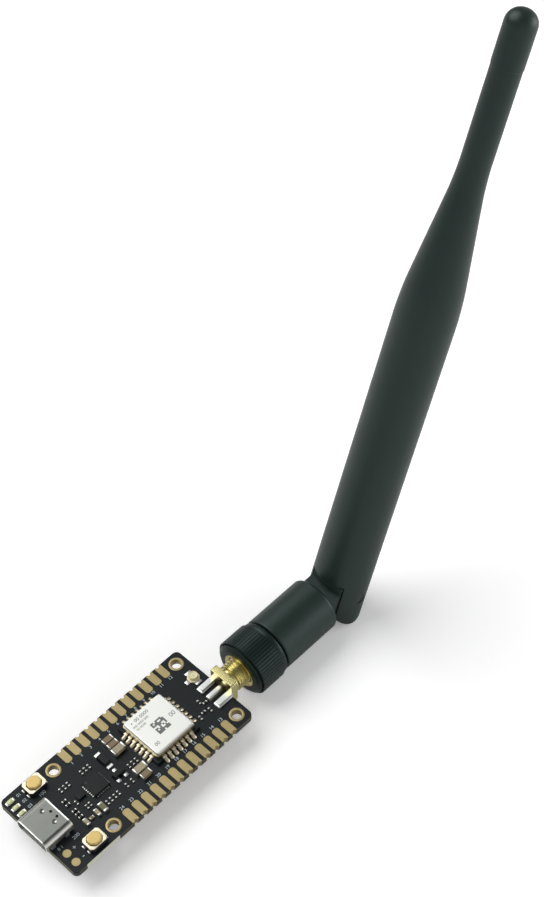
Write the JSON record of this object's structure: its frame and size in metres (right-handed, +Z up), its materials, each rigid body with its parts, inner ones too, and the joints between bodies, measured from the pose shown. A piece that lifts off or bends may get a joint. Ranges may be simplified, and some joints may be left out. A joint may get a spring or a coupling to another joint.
{
  "type": "radio module with whip antenna",
  "caption": "Radio board with a data socket, push buttons, a shielded radio module and an edge jack that carries a whip antenna on a swivelling, tilting base.",
  "frame": {"origin": "centre of the mounting holes, on the underside of the board", "axes": "+X along the board towards the antenna jack, +Y across the board, +Z up out of the populated face"},
  "size_m": [0.1358, 0.023, 0.1355],
  "materials": {
    "black_laminate": "satin black solder mask",
    "gold_plate": "soft gold plating",
    "socket_steel": "satin",
    "black_moulding": "matte",
    "bright_sheet": "bright sheet",
    "tan_plunger": "matte tan",
    "lamp_white": "white",
    "lamp_lens": "clear, yellow-green",
    "shield_sheet": "pale satin",
    "solder": "bright solder",
    "resistor_black": "matte",
    "ceramic_brown": "matte",
    "ceramic_light": "matte",
    "inductor_olive": "matte",
    "insulator_white": "waxy white",
    "jack_gold": "bright gold plating",
    "nut_black": "black, satin",
    "nut_brass": "machined brass",
    "steel": "plain steel",
    "antenna_black": "satin charcoal"
  },
  "bodies": {
    "board": {"circuit_board": "black_laminate", "edge_pads": "gold_plate", "hole_rings": "gold_plate", "battery_pads": "gold_plate", "socket_shell": "socket_steel", "socket_block": "black_moulding", "socket_contacts": "gold_plate", "switch_bases": "black_moulding", "switch_covers": "bright_sheet", "switch_terminals": "bright_sheet", "switch_domes": "steel", "lamp_bases": "lamp_white", "lamp_lenses": "lamp_lens", "lamp_caps": "solder", "module_board": "black_laminate", "module_pads": "gold_plate", "module_lands": "solder", "module_shield": "shield_sheet", "radio_chip": "black_moulding", "radio_crystal": "steel", "bridge_chip": "black_moulding", "bridge_lands": "solder", "guard_chip": "black_moulding", "diode_body": "black_moulding", "diode_terminals": "solder", "regulator_body": "black_moulding", "regulator_legs": "solder", "chip_resistors": "resistor_black", "resistor_caps": "solder", "brown_capacitors": "ceramic_brown", "light_capacitors": "ceramic_light", "chip_inductor": "inductor_olive", "capacitor_caps": "solder", "receptacle_base": "insulator_white", "receptacle_ring": "gold_plate", "receptacle_post": "gold_plate", "receptacle_tabs": "solder", "contact_land": "gold_plate", "jack_body": "jack_gold", "jack_insulator": "insulator_white", "jack_contact": "jack_gold", "leg_solder": "solder", "antenna_plug": "nut_brass", "plug_insulator": "insulator_white", "plug_pin": "jack_gold", "retaining_ring": "steel", "swivel_washer": "insulator_white"},
    "coupling_nut": {"nut_sleeve": "nut_black", "nut_insert": "nut_brass"},
    "swivel": {"swivel_base": "antenna_black", "hinge_washers": "insulator_white"},
    "whip": {"whip_sleeve": "antenna_black", "hinge_pin": "steel", "radiator_tube": "nut_brass", "feed_wire": "insulator_white", "tip_cap": "antenna_black"},
    "reset_button": {"reset_plunger": "tan_plunger"},
    "boot_button": {"boot_plunger": "tan_plunger"}
  },
  "joints": [
    {"name": "reset_press", "type": "slide", "parent": "board", "child": "reset_button", "axis": [0, 0, -1], "range_m": [0, 0.00024], "stiffness_N_per_m": 6000},
    {"name": "boot_press", "type": "slide", "parent": "board", "child": "boot_button", "axis": [0, 0, -1], "range_m": [0, 0.00024], "stiffness_N_per_m": 6000},
    {"name": "nut_turn", "type": "hinge", "parent": "board", "child": "coupling_nut", "pos_m": [0.0294, -0.00205, 0.00202], "axis": [1, 0, 0], "continuous": true},
    {"name": "antenna_swivel", "type": "hinge", "parent": "board", "child": "swivel", "pos_m": [0.042, -0.00205, 0.00202], "axis": [1, 0, 0], "continuous": true},
    {"name": "antenna_tilt", "type": "hinge", "parent": "swivel", "child": "whip", "pos_m": [0.0565, -0.00205, 0.00202], "axis": [0, 1, 0], "range_deg": [-19.5, 70]}
  ]
}
